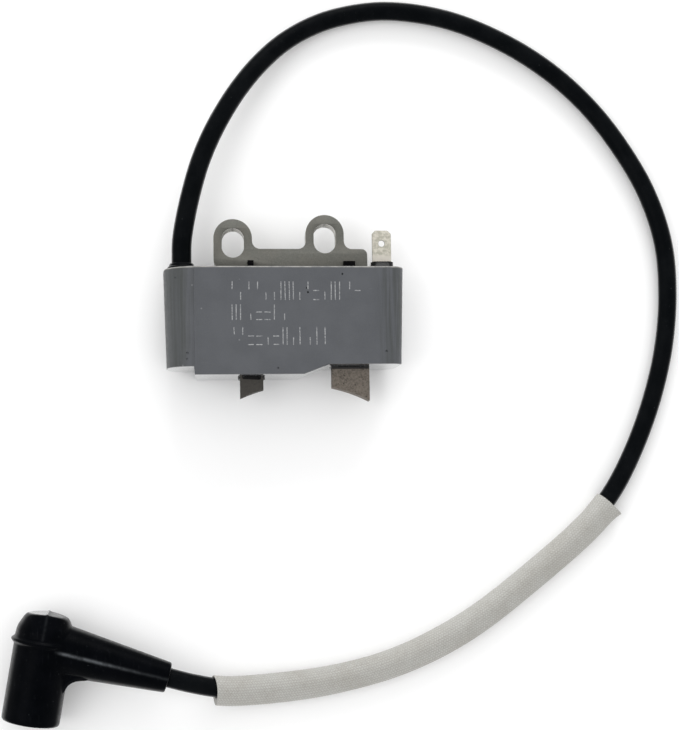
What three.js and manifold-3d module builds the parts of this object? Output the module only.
// Ignition coil of a small two-stroke engine, in millimetres, +Z up.
// The coil lies on the back of its cup. +Y is the side where the ears, the blade terminal and the
// high-voltage lead come out, and the two core legs point to -Y. The origin is under the middle of
// the coil's own box, on the surface that it lies on. The lead lies in one loose loop round the coil.
import * as THREE from "three";
import { mergeVertices } from "three/addons/utils/BufferGeometryUtils.js";
import Module from "manifold-3d";

const wasm = await Module();
wasm.setup();

// ---- driving dimensions -------------------------------------------------------------------------
const GAP = 0.3; // clearance between neighbours that are cast or cut to each other

const CUP = {
  left: -39.0, // at the open rim
  right: 38.3,
  leftLean: 0.95, // the sides lean in by this much at the closed end
  rightLean: 1.1,
  depth: 24.0,
  rimY: 12.4,
  deepY: -22.4, // closed end round the winding leg
  towerY: -19.7, // closed end of the lead tower
  shallowY: -19.3, // closed end at the charge side
  towerX: -29.7, // where the lead tower meets the main body
  slantX: [5.2, 13.4],
  towerRadius: 9.4,
  cornerRadius: 5.0,
  towerStep: 0.5, // the tower's front stands back by this much
  wall: 1.8,
};
const CORE = {
  back: 8.4,
  thickness: 7.2,
  sheet: 0.6,
  left: -22.9,
  right: 27.3,
  yokeTop: 19.2,
  yokeBottom: 11.7,
  windingLeg: [-14.8, -7.3],
  chargeLeg: [15.1, 27.3],
  lowest: -30.4,
  flywheelRadius: 48.0, // the pole faces follow the flywheel
  flywheelX: 5.1,
};
const EAR = { radius: 6.25, slotWidth: 7.3, slotHeight: 9.6, rim: 3.0, rootFillet: 2.2 };
const EARS = [
  { x: -16.65, top: 28.9 },
  { x: 13.4, top: 30.4 },
];
const POTTING_TOP = 11.4;
const MIDDLE_Z = CORE.back + CORE.thickness / 2;
const TAB = {
  x: 32.6,
  width: 6.3,
  thickness: 0.8,
  footThickness: 0.6, // inside the potting
  top: 25.8,
  shoulder: 15.5, // where it comes out of the potting
  foot: 9.6,
  holeY: 21.5,
  hole: 2.1,
  chamfer: 1.0,
};
const LEAD = { x: -33.1, radius: 3.15, end: -3.0, sides: 12, steps: 80 };
const SLEEVE = {
  from: 0.649, // its ends, as parts of the lead's length
  to: 0.9135,
  bore: 3.55,
  halfHeight: 3.85,
  outer: 5.7,
  steps: 22,
};
const BOOT = {
  elbow: new THREE.Vector3(-77.8, -106.8, 11.0),
  armSlope: THREE.MathUtils.degToRad(-15.9), // direction of the arm, away from the elbow
  socketLean: THREE.MathUtils.degToRad(-9.8), // lean of the socket from the Y axis
  droop: THREE.MathUtils.degToRad(4.0), // the mouth hangs down to the surface
  armLength: 40.9,
  armRadius: [8.8, 4.75],
  mouth: -24.6,
  socketRadius: 9.2,
  socketBore: 6.2,
  socketEnd: 3.6,
  armBore: 3.45,
  capTop: 10.0,
  ringRadius: 10.1,
  leadEnd: 8.6,
};

// The lead's centre line: out of the tower, round the coil on the surface, up into the boot's arm.
const LIE = 3.15; // height of the centre of the lead where it lies
const IN_SLEEVE = 3.9; // and where it lies in its sleeve
const armPoint = (distance) => [
  BOOT.elbow.x + distance * Math.cos(BOOT.armSlope),
  BOOT.elbow.y + distance * Math.sin(BOOT.armSlope),
  BOOT.elbow.z,
];
const LEAD_ROUTE = [
  [LEAD.x, LEAD.end, MIDDLE_Z], [LEAD.x, 6.0, MIDDLE_Z], [LEAD.x, 15.4, MIDDLE_Z],
  [-32.9, 22.3, 12.2], [-31.5, 30.7, 12.5], [-29.5, 39.2, 12.6], [-26.9, 47.9, 12.4],
  [-23.3, 56.7, 11.8], [-18.7, 65.5, 10.6], [-13.1, 74.3, 8.9], [-6.3, 82.8, 6.8],
  [1.7, 90.4, 4.9], [10.9, 96.2, 3.7], [20.9, 100.0, 3.25], [36.5, 102.4, LIE],
  [57.0, 100.0, LIE], [75.9, 92.9, LIE], [92.4, 82.9, LIE], [106.3, 70.4, LIE],
  [117.4, 56.0, LIE], [126.1, 40.3, LIE], [131.3, 23.2, LIE], [132.2, 5.5, LIE],
  [130.2, -12.4, LIE], [125.6, -29.7, LIE], [118.6, -46.9, 3.4], [110.6, -61.0, 3.85],
  [102.3, -70.8, IN_SLEEVE], [82.9, -87.0, IN_SLEEVE], [59.8, -103.5, IN_SLEEVE],
  [37.2, -114.2, IN_SLEEVE], [16.0, -119.6, IN_SLEEVE], [-5.5, -122.0, 4.3],
  [-21.0, -122.2, 6.2], [-30.5, -120.3, 9.2], armPoint(40.9), armPoint(30),
  armPoint(19), armPoint(BOOT.leadEnd),
];

// ---- materials ----------------------------------------------------------------------------------
function finish(color, roughness, metalness) {
  return new THREE.MeshStandardMaterial({ color, roughness, metalness });
}
const GREY_PLASTIC = finish(0x64666a, 0.55, 0.0);
const BLACK_RESIN = finish(0x0c0c0d, 0.35, 0.0);
const CORE_STEEL = finish(0x6f6e68, 0.5, 0.9);
const BOBBIN_PLASTIC = finish(0x1c1c1e, 0.6, 0.0);
const ENAMELLED_COPPER = finish(0x8a3f1c, 0.35, 0.8);
const TINNED_BRASS = finish(0xb9b8ae, 0.35, 0.9);
const BOARD_LAMINATE = finish(0x2f5a35, 0.6, 0.0);
const COMPONENT_BLACK = finish(0x18181a, 0.5, 0.0);
const CAPACITOR_FILM = finish(0x6b2b20, 0.45, 0.0);
const RESISTOR_BODY = finish(0xb79a6a, 0.6, 0.0);
const LEAD_RUBBER = finish(0x151617, 0.5, 0.0);
const GLASS_BRAID = finish(0xb9b8b4, 0.9, 0.0);
const BOOT_RUBBER = finish(0x0e0f10, 0.4, 0.0);
const SPRING_STEEL = finish(0x9a9a98, 0.3, 0.95);

// ---- geometry helpers ---------------------------------------------------------------------------
const point = (x, y) => new THREE.Vector2(x, y);

// Points of an arc from one angle to another, both in degrees.
function arc(x, y, radius, from, to, segments) {
  const points = [];
  for (let i = 0; i <= segments; i += 1) {
    const angle = THREE.MathUtils.degToRad(from + ((to - from) * i) / segments);
    points.push(point(x + radius * Math.cos(angle), y + radius * Math.sin(angle)));
  }
  return points;
}

// A rectangle whose corners are rounded: radii in the order low-left, low-right, high-right, high-left.
function roundedRectangle(x0, x1, y0, y1, radii, segments = 4) {
  const [a, b, c, d] = radii;
  return [
    ...arc(x0 + a, y0 + a, a, 180, 270, segments),
    ...arc(x1 - b, y0 + b, b, 270, 360, segments),
    ...arc(x1 - c, y1 - c, c, 0, 90, segments),
    ...arc(x0 + d, y1 - d, d, 90, 180, segments),
  ];
}

// An outline in X and Y, with holes, pulled up between two heights.
function prismZ(outline, z0, z1, holes = []) {
  const shape = new THREE.Shape(outline);
  shape.holes = holes.map((hole) => new THREE.Path(hole));
  const geometry = new THREE.ExtrudeGeometry(shape, { depth: z1 - z0, bevelEnabled: false });
  return geometry.translate(0, 0, z0);
}

// An outline in X and Z, with holes, pulled along Y.
function prismY(outline, y0, y1, holes = []) {
  return prismZ(outline, 0, y1 - y0, holes).rotateX(Math.PI / 2).translate(0, y1, 0);
}

function box(x0, x1, y0, y1, z0, z1) {
  const geometry = new THREE.BoxGeometry(x1 - x0, y1 - y0, z1 - z0);
  return geometry.translate((x0 + x1) / 2, (y0 + y1) / 2, (z0 + z1) / 2);
}

// A round body about a line parallel to Y: profile points are radius and Y.
function turnedY(profile, x, z, segments = 24) {
  const points = profile.map(([radius, y]) => point(radius, y));
  return new THREE.LatheGeometry(points, segments).translate(x, 0, z);
}

function tube(path, radius, sides, steps) {
  const section = new THREE.Shape(arc(0, 0, radius, 0, 360 * (1 - 1 / sides), sides - 1));
  return new THREE.ExtrudeGeometry(section, { steps, extrudePath: path });
}

function curve(points) {
  const places = points.map((p) => new THREE.Vector3(...p));
  return new THREE.CatmullRomCurve3(places, false, "centripetal");
}

function solid(geometry) {
  const bare = geometry.clone();
  bare.deleteAttribute("normal");
  bare.deleteAttribute("uv");
  const merged = mergeVertices(bare, 1e-4);
  const mesh = new wasm.Mesh({
    numProp: 3,
    vertProperties: new Float32Array(merged.attributes.position.array),
    triVerts: new Uint32Array(merged.index.array),
  });
  return new wasm.Manifold(mesh);
}

const joined = (geometries) => geometries.map(solid).reduce((sum, next) => sum.add(next));

function toGeometry(manifold) {
  const mesh = manifold.getMesh();
  const geometry = new THREE.BufferGeometry();
  geometry.setAttribute("position", new THREE.BufferAttribute(new Float32Array(mesh.vertProperties), 3));
  geometry.setIndex(new THREE.BufferAttribute(new Uint32Array(mesh.triVerts), 1));
  return geometry;
}

function addPiece(group, name, shape, material) {
  const geometry = shape.isBufferGeometry ? shape : toGeometry(shape);
  geometry.computeVertexNormals();
  const mesh = new THREE.Mesh(geometry, material);
  mesh.name = name;
  group.add(mesh);
}

// ---- cup and potting ----------------------------------------------------------------------------
// Both have the same stepped, tapered form; inset moves every wall inwards. frontStep sets the
// lead tower's front back from the rest.
function cupForm(inset, top, frontStep) {
  const x0 = CUP.left + inset;
  const x1 = CUP.right - inset;
  const z0 = inset;
  const z1 = CUP.depth - inset;
  const round = CUP.towerRadius - inset;
  const corner = Math.max(CUP.cornerRadius - inset, 1);
  const bottom = CUP.deepY + inset;
  const lean = (geometry) => {
    const position = geometry.attributes.position;
    for (let i = 0; i < position.count; i += 1) {
      const drop = (CUP.rimY - position.getY(i)) / (CUP.rimY - CUP.deepY);
      const x = position.getX(i);
      const share = (x - x0) / (x1 - x0);
      position.setX(i, x + drop * ((1 - share) * CUP.leftLean - share * CUP.rightLean));
    }
    return geometry;
  };
  const plan = roundedRectangle(x0, x1, z0, z1, [round, corner, corner, round], 8);
  let form = solid(lean(prismY(plan, bottom, top)));
  if (frontStep > 0) {
    const tower = roundedRectangle(x0, 0, z0, z1 - frontStep, [round, 1, 1, round], 8);
    const aside = solid(box(-60, CUP.towerX, bottom - 1, top + 1, -1, 30));
    form = form.subtract(aside).add(solid(lean(prismY(tower, bottom, top))).intersect(aside));
  }
  const slantHeight = CUP.shallowY - CUP.deepY;
  const slantLength = CUP.slantX[1] - CUP.slantX[0];
  const slantShift = inset * Math.tan(Math.atan2(slantHeight, slantLength) / 2);
  const side = [
    point(-60, CUP.towerY + inset),
    point(CUP.towerX + inset, CUP.towerY + inset),
    point(CUP.towerX + inset, bottom),
    point(CUP.slantX[0] - slantShift, bottom),
    point(CUP.slantX[1] - slantShift, CUP.shallowY + inset),
    point(60, CUP.shallowY + inset),
    point(60, 40),
    point(-60, 40),
  ];
  return form.intersect(solid(prismZ(side, -5, 40)));
}

const legHole = ([x0, x1], clearance) => box(
  x0 - clearance, x1 + clearance, CORE.lowest, CORE.yokeBottom,
  CORE.back - clearance, CORE.back + CORE.thickness + clearance,
);

function makeHousing() {
  const cavity = cupForm(CUP.wall, CUP.rimY + 1, 0);
  return cupForm(0, CUP.rimY, CUP.towerStep)
    .subtract(cavity)
    .subtract(solid(legHole(CORE.windingLeg, GAP)))
    .subtract(solid(legHole(CORE.chargeLeg, GAP)));
}

const WINDING_X = (CORE.windingLeg[0] + CORE.windingLeg[1]) / 2;
const CHARGE_X = (CORE.chargeLeg[0] + CORE.chargeLeg[1]) / 2;
const COIL_TOP = 8.8;
const WINDING_BOTTOM = -19.6;
const CHARGE_BOTTOM = -17.0;
const SECONDARY_HALF = 9.6;
const CHARGE_HALF = [9.2, 6.7];
const LUGS = [
  { x: WINDING_X, half: 0.95, top: 15.2 },
  { x: CHARGE_X, half: 1.9, top: 15.0 },
];
const LUG_Z = [CORE.back + CORE.thickness + GAP, CORE.back + CORE.thickness + 1.5];
const lug = ({ x, half, top }, grow = 0) => box(
  x - half - grow, x + half + grow, COIL_TOP - 1, top + grow, LUG_Z[0] - grow, LUG_Z[1] + grow,
);

// Wires inside the cup, each as the points of its route, its radius and its number of steps.
const KILL_WIRE = [
  [32.8, 6.5, 13.2], [32.4, 9.0, 17.0], [28.0, 10.0, 19.4],
  [16.0, 10.0, 19.6], [6.0, 9.4, 19.0], [2.2, 7.7, 16.5],
];
const PIN_WIRE = [
  [-30.0, -8.6, 12.0], [-27.5, -9.6, 12.2], [-24.5, -13.5, 12.2], [-21.0, -15.5, 12.0],
];
const WIRE = { radius: 0.45, sides: 6, killSteps: 16, pinSteps: 10 };
const PIN = { tip: LEAD.end - GAP, shoulder: -8.0, foot: -9.2, shaft: 0.8, base: 2.8 };

// A cylinder on the lead's line in the tower.
function cylinderY(radius, y0, y1) {
  return turnedY([[0, y0], [radius, y0], [radius, y1], [0, y1]], LEAD.x, MIDDLE_Z);
}

function makePotting() {
  const bossPlan = roundedRectangle(TAB.x - 3.7, TAB.x + 3.7, MIDDLE_Z - 2.4, MIDDLE_Z + 2.4, [2, 2, 2, 2]);
  const tabBoss = prismY(bossPlan, POTTING_TOP - 1, TAB.shoulder - 0.3);
  const pockets = [
    legHole(CORE.windingLeg, GAP),
    legHole(CORE.chargeLeg, GAP),
    prismY(roundedRectangle(
      WINDING_X - SECONDARY_HALF - GAP, WINDING_X + SECONDARY_HALF + GAP,
      MIDDLE_Z - SECONDARY_HALF - GAP, MIDDLE_Z + SECONDARY_HALF + GAP, [2, 2, 2, 2],
    ), WINDING_BOTTOM - GAP, COIL_TOP + GAP),
    box(
      CHARGE_X - CHARGE_HALF[0] - GAP, CHARGE_X + CHARGE_HALF[0] + GAP, CHARGE_BOTTOM - GAP, COIL_TOP + GAP,
      MIDDLE_Z - CHARGE_HALF[1] - GAP, MIDDLE_Z + CHARGE_HALF[1] + GAP,
    ),
    box(0.9, 12.5, -16.0, 8.2, 2.6, 21.4),
    box(1.2, 3.4, 7.0, POTTING_TOP + 1, MIDDLE_Z - 2.4, MIDDLE_Z + 2.4),
    box(
      TAB.x - TAB.width / 2 - GAP, TAB.x + TAB.width / 2 + GAP, TAB.foot - GAP, 20,
      MIDDLE_Z - TAB.footThickness / 2 - GAP, MIDDLE_Z + TAB.footThickness / 2 + GAP,
    ),
    box(TAB.x - 2.0, TAB.x + 2.0, 4.6, TAB.foot, MIDDLE_Z - 0.8, MIDDLE_Z + 1.9),
    cylinderY(LEAD.radius + GAP, LEAD.end - GAP, 20),
    cylinderY(3.2, PIN.foot - GAP, LEAD.end),
    tube(curve(KILL_WIRE), WIRE.radius + GAP, WIRE.sides, WIRE.killSteps),
    tube(curve(PIN_WIRE), WIRE.radius + GAP, WIRE.sides, WIRE.pinSteps),
    ...LUGS.map((item) => lug(item, GAP)),
  ];
  return cupForm(CUP.wall + GAP, POTTING_TOP, 0).add(solid(tabBoss)).subtract(joined(pockets));
}

// ---- core ---------------------------------------------------------------------------------------
// One sheet of the core: a yoke with two slotted ears above it and two legs below it.
function coreOutline() {
  const reach = Math.sqrt(CORE.flywheelRadius ** 2 - (CORE.right - CORE.flywheelX) ** 2);
  const flywheelY = CORE.lowest - reach;
  const poleFace = ([x0, x1]) => {
    const angle = (x) => THREE.MathUtils.radToDeg(Math.acos((x - CORE.flywheelX) / CORE.flywheelRadius));
    return arc(CORE.flywheelX, flywheelY, CORE.flywheelRadius, angle(x0), angle(x1), 6);
  };
  const rootX = EAR.radius + EAR.rootFillet;
  const ear = ({ x, top }) => [
    ...arc(x + rootX, CORE.yokeTop + EAR.rootFillet, EAR.rootFillet, 270, 180, 4),
    ...arc(x, top - EAR.radius, EAR.radius, 0, 180, 16),
  ];
  const rightEar = EARS[1];
  const leftEar = EARS[0];
  return [
    ...poleFace(CORE.windingLeg),
    point(CORE.windingLeg[1], CORE.yokeBottom),
    point(CORE.chargeLeg[0], CORE.yokeBottom),
    ...poleFace(CORE.chargeLeg),
    ...arc(CORE.right - 1.9, CORE.yokeTop - 1.9, 1.9, 0, 90, 4),
    ...ear(rightEar),
    ...arc(rightEar.x - rootX, CORE.yokeTop + EAR.rootFillet, EAR.rootFillet, 0, -90, 4),
    ...ear(leftEar),
    ...arc(CORE.left + 4, CORE.yokeBottom + 4, 4, 180, 270, 5),
    point(CORE.windingLeg[0], CORE.yokeBottom),
  ];
}

function earSlot({ x, top }) {
  const half = EAR.slotWidth / 2;
  const high = top - EAR.rim - half;
  const low = top - EAR.rim - EAR.slotHeight + half;
  return [...arc(x, high, half, 0, 180, 10), ...arc(x, low, half, 180, 360, 10)];
}

const corePlate = (z0, z1) => prismZ(coreOutline(), z0, z1, EARS.map(earSlot));

// ---- windings -----------------------------------------------------------------------------------
// A rounded square ring round a leg, between two heights along Y.
function legRing(x, inner, outer, radius, y0, y1) {
  const [innerX, innerZ] = inner;
  const [outerX, outerZ] = outer;
  const rimRadii = Array(4).fill(radius);
  const boreRadii = Array(4).fill(Math.max(radius - 0.8, 0.3));
  const rim = roundedRectangle(x - outerX, x + outerX, MIDDLE_Z - outerZ, MIDDLE_Z + outerZ, rimRadii, 3);
  const bore = roundedRectangle(x - innerX, x + innerX, MIDDLE_Z - innerZ, MIDDLE_Z + innerZ, boreRadii, 2);
  return prismY(rim, y0, y1, [bore]);
}

// A bobbin: a tube with equally spaced flanges.
function bobbin(x, inner, barrel, flange, y0, y1, flanges, thickness) {
  const rings = [legRing(x, inner, barrel, 1.2, y0, y1)];
  for (let i = 0; i < flanges; i += 1) {
    const start = y0 + ((y1 - y0 - thickness) * i) / (flanges - 1);
    rings.push(legRing(x, inner, flange, 2.0, start, start + thickness));
  }
  return joined(rings);
}

const SECTIONS = 5;
const SECONDARY_FLANGE = 1.0;

function addWindings(group) {
  const primary = bobbin(WINDING_X, [4.1, 4.0], [4.8, 4.7], [6.4, 6.4], WINDING_BOTTOM, COIL_TOP, 2, 1.2);
  addPiece(group, "primary_bobbin", primary.add(solid(lug(LUGS[0]))), BOBBIN_PLASTIC);
  addPiece(group, "primary_winding",
    legRing(WINDING_X, [5.0, 4.9], [6.2, 6.1], 1.6, WINDING_BOTTOM + 1.4, COIL_TOP - 1.4), ENAMELLED_COPPER);

  const bottom = WINDING_BOTTOM + 1.0;
  const top = COIL_TOP - 2.0;
  const flange = [SECONDARY_HALF, SECONDARY_HALF];
  const secondary = bobbin(
    WINDING_X, [6.7, 6.7], [7.5, 7.5], flange, bottom, top, SECTIONS + 1, SECONDARY_FLANGE,
  );
  addPiece(group, "secondary_bobbin", secondary, BOBBIN_PLASTIC);
  const pitch = (top - bottom - SECONDARY_FLANGE) / SECTIONS;
  for (let i = 0; i < SECTIONS; i += 1) {
    const y0 = bottom + i * pitch + SECONDARY_FLANGE + 0.2;
    const y1 = bottom + (i + 1) * pitch - 0.2;
    addPiece(group, `secondary_winding_${i + 1}`,
      legRing(WINDING_X, [7.7, 7.7], [9.1, 9.1], 2.0, y0, y1), ENAMELLED_COPPER);
  }

  const charge = bobbin(CHARGE_X, [6.4, 4.0], [7.1, 4.7], CHARGE_HALF, CHARGE_BOTTOM, COIL_TOP, 2, 1.2);
  addPiece(group, "charge_bobbin", charge.add(solid(lug(LUGS[1]))), BOBBIN_PLASTIC);
  addPiece(group, "charge_winding",
    legRing(CHARGE_X, [7.3, 4.9], [8.9, 6.4], 1.6, CHARGE_BOTTOM + 1.4, COIL_TOP - 1.4), ENAMELLED_COPPER);
}

// ---- circuit ------------------------------------------------------------------------------------
const BOARD_X = [1.4, 2.6];

// A part with a round body and a wire at each end, lying along Z on the board.
function axialPart(y, bodyRadius, bodyLength) {
  const half = bodyLength / 2;
  const end = half + 2.0;
  const profile = [
    [0, -end], [0.35, -end], [0.35, -half], [bodyRadius, -half],
    [bodyRadius, half], [0.35, half], [0.35, end], [0, end],
  ];
  const x = BOARD_X[1] + bodyRadius + 0.3;
  return turnedY(profile, 0, 0, 16).rotateX(Math.PI / 2).translate(x, y, MIDDLE_Z);
}

// A small transistor-shaped switch: a body with one flat side, on three legs.
function thyristorBody() {
  const body = prismZ(arc(0, 0, 2.3, -50, 230, 12), 0, 4.6).rotateY(Math.PI / 2);
  const legs = [-1.27, 0, 1.27].map((offset) => box(-1.6, 0.2, -0.25, 0.25, offset - 0.25, offset + 0.25));
  return joined([body, ...legs].map((part) => part.translate(BOARD_X[1] + 1.9, -13.0, MIDDLE_Z - 4.5)));
}

function addCircuit(group) {
  addPiece(group, "circuit_board", box(BOARD_X[0], BOARD_X[1], -15.6, 7.2, 3.0, 21.0), BOARD_LAMINATE);
  const capacitor = prismY(roundedRectangle(3.0, 10.8, 5.6, 18.4, [1, 1, 1, 1], 3), -3.8, 7.0);
  addPiece(group, "storage_capacitor", capacitor, CAPACITOR_FILM);
  addPiece(group, "thyristor", thyristorBody(), COMPONENT_BLACK);
  addPiece(group, "diode_1", axialPart(-5.8, 1.35, 5.2), COMPONENT_BLACK);
  addPiece(group, "diode_2", axialPart(-9.0, 1.35, 5.2), COMPONENT_BLACK);
  const resistor = axialPart(-13.0, 1.2, 5.6).translate(0, 0, 3.6);
  addPiece(group, "resistor", resistor, RESISTOR_BODY);
  const killWire = tube(curve(KILL_WIRE), WIRE.radius, WIRE.sides, WIRE.killSteps);
  addPiece(group, "kill_wire", killWire, COMPONENT_BLACK);
  const strap = [
    point(1.6, 7.5), point(3.0, 7.5), point(3.0, 8.0),
    point(2.2, 8.0), point(2.2, POTTING_TOP), point(1.6, POTTING_TOP),
  ];
  addPiece(group, "earth_strap", prismZ(strap, MIDDLE_Z - 2.0, MIDDLE_Z + 2.0), TINNED_BRASS);
}

// ---- terminals ----------------------------------------------------------------------------------
// The blade is a little thinner where it stands in the potting.
function killTab() {
  const { x, width, thickness, footThickness, top, shoulder, foot, chamfer } = TAB;
  const half = width / 2;
  const footOutline = [
    point(x - 1.6, 5.0), point(x + 1.6, 5.0), point(x + 1.6, foot), point(x + half, foot),
    point(x + half, shoulder + 0.5), point(x - half, shoulder + 0.5), point(x - half, foot),
    point(x - 1.6, foot),
  ];
  const bladeOutline = [
    point(x - half, shoulder), point(x + half, shoulder), point(x + half, top - chamfer),
    point(x + half - chamfer, top), point(x - half + chamfer, top), point(x - half, top - chamfer),
  ];
  const hole = arc(x, TAB.holeY, TAB.hole / 2, 0, 360 * (15 / 16), 15);
  return joined([
    prismZ(footOutline, MIDDLE_Z - footThickness / 2, MIDDLE_Z + footThickness / 2),
    prismZ(bladeOutline, MIDDLE_Z - thickness / 2, MIDDLE_Z + thickness / 2, [hole]),
  ]);
}

function contactPin() {
  const profile = [
    [0, PIN.foot], [PIN.base, PIN.foot], [PIN.base, PIN.shoulder], [PIN.shaft, PIN.shoulder],
    [PIN.shaft, PIN.tip - 1.4], [0, PIN.tip],
  ];
  return turnedY(profile, LEAD.x, MIDDLE_Z, 20);
}

function leadGrommet() {
  const bore = LEAD.radius + GAP;
  const flange = CUP.rimY + GAP;
  const bottom = POTTING_TOP + GAP;
  const profile = [
    [bore, bottom], [3.8, bottom], [3.8, flange], [4.6, flange], [4.6, flange + 0.8],
    [4.2, flange + 1.1], [3.9, flange + 1.9], [bore, flange + 2.0], [bore, bottom],
  ];
  return turnedY(profile, LEAD.x, MIDDLE_Z, 28);
}

// ---- lead, sleeve and boot ----------------------------------------------------------------------
const leadPath = curve(LEAD_ROUTE);

// The sleeve is a woven tube, wider than the lead: it hugs the lead on the inside of the loop and
// lies flatter on the outside of the loop.
function leadSleeve() {
  const points = [];
  for (let i = 0; i <= SLEEVE.steps; i += 1) {
    const place = SLEEVE.from + ((SLEEVE.to - SLEEVE.from) * i) / SLEEVE.steps;
    points.push(leadPath.getPointAt(place));
  }
  const path = new THREE.CatmullRomCurve3(points, false, "centripetal");
  // The section's first direction points down and its second points out of the loop.
  const rim = [
    ...arc(0, 0, SLEEVE.halfHeight, 180, 360, 8),
    ...arc(0, SLEEVE.outer - 2.4, 2.4, 20, 160, 6),
  ];
  const section = new THREE.Shape(rim);
  section.holes = [new THREE.Path(arc(0, 0, SLEEVE.bore, 0, 330, 11))];
  return new THREE.ExtrudeGeometry(section, { steps: SLEEVE.steps, extrudePath: path });
}

const socketTurn = (geometry) => geometry.rotateZ(BOOT.socketLean);
const armTurn = (geometry) => geometry.rotateZ(BOOT.armSlope - Math.PI / 2);

function bootShell() {
  const { socketRadius, ringRadius, capTop, mouth, armLength, armRadius } = BOOT;
  const socket = turnedY([
    [0, mouth], [8.6, mouth], [socketRadius, mouth + 0.7], [socketRadius, -1.0],
    [ringRadius, -0.6], [ringRadius, 1.8],
    [socketRadius, 2.2], [9.1, 4.6], [8.6, 6.0], [6.9, 9.5], [6.3, capTop], [0, capTop],
  ], 0, 0, 36);
  const arm = turnedY([
    [0, 0], [armRadius[0], 0], [armRadius[1] + 0.05, armLength - 0.6],
    [armRadius[1] - 0.4, armLength], [0, armLength],
  ], 0, 0, 28);
  const socketBore = turnedY([
    [0, mouth - 1], [7.4, mouth - 1], [6.9, mouth], [BOOT.socketBore, mouth + 1.6],
    [BOOT.socketBore, BOOT.socketEnd], [4.2, BOOT.socketEnd + 1.8], [0, BOOT.socketEnd + 1.8],
  ], 0, 0, 28);
  const armBore = turnedY([
    [0, 2], [BOOT.armBore, 2], [BOOT.armBore, armLength + 1], [0, armLength + 1],
  ], 0, 0, 24);
  const outside = joined([socketTurn(socket), armTurn(arm)]);
  return outside.subtract(joined([socketTurn(socketBore), armTurn(armBore)]));
}

// The spring that grips the plug's terminal, with a straight spike towards the lead's core.
function plugSpring() {
  const turns = 4.5;
  const meanRadius = 3.1;
  const points = [];
  for (let i = 0; i <= turns * 12; i += 1) {
    const angle = (i / 12) * 2 * Math.PI;
    const height = -8.5 + (i / 12) * 1.8;
    points.push(new THREE.Vector3(meanRadius * Math.cos(angle), height, meanRadius * Math.sin(angle)));
  }
  const coil = points.map((p) => p.applyAxisAngle(new THREE.Vector3(0, 0, 1), BOOT.socketLean));
  const along = new THREE.Vector3(Math.cos(BOOT.armSlope), Math.sin(BOOT.armSlope), 0);
  const spike = [1.0, 3.0, 5.5, BOOT.leadEnd - GAP].map((distance) => along.clone().multiplyScalar(distance));
  const path = new THREE.CatmullRomCurve3([...coil, ...spike], false, "centripetal");
  return tube(path, 0.5, 6, 84);
}

// ---- assembly -----------------------------------------------------------------------------------
const ignitionCoil = new THREE.Group();

addPiece(ignitionCoil, "housing", makeHousing(), GREY_PLASTIC);
addPiece(ignitionCoil, "potting", makePotting(), BLACK_RESIN);

const coreFront = CORE.back + CORE.thickness;
addPiece(ignitionCoil, "core_back_plate", corePlate(CORE.back, CORE.back + CORE.sheet), CORE_STEEL);
addPiece(ignitionCoil, "core_stack", corePlate(CORE.back + CORE.sheet, coreFront - CORE.sheet), CORE_STEEL);
addPiece(ignitionCoil, "core_front_plate", corePlate(coreFront - CORE.sheet, coreFront), CORE_STEEL);

addWindings(ignitionCoil);
addCircuit(ignitionCoil);
addPiece(ignitionCoil, "kill_tab", killTab(), TINNED_BRASS);
addPiece(ignitionCoil, "contact_pin", contactPin(), TINNED_BRASS);
const pinWire = tube(curve(PIN_WIRE), WIRE.radius, WIRE.sides, WIRE.pinSteps);
addPiece(ignitionCoil, "pin_wire", pinWire, ENAMELLED_COPPER);
addPiece(ignitionCoil, "lead_grommet", leadGrommet(), BLACK_RESIN);
addPiece(ignitionCoil, "high_voltage_lead", tube(leadPath, LEAD.radius, LEAD.sides, LEAD.steps), LEAD_RUBBER);
addPiece(ignitionCoil, "lead_sleeve", leadSleeve(), GLASS_BRAID);

const boot = new THREE.Group();
boot.position.copy(BOOT.elbow);
boot.quaternion.setFromAxisAngle(
  new THREE.Vector3(Math.cos(BOOT.armSlope), Math.sin(BOOT.armSlope), 0), BOOT.droop,
);
addPiece(boot, "boot_shell", bootShell(), BOOT_RUBBER);
addPiece(boot, "plug_spring", plugSpring(), SPRING_STEEL);
ignitionCoil.add(boot);

export default ignitionCoil;
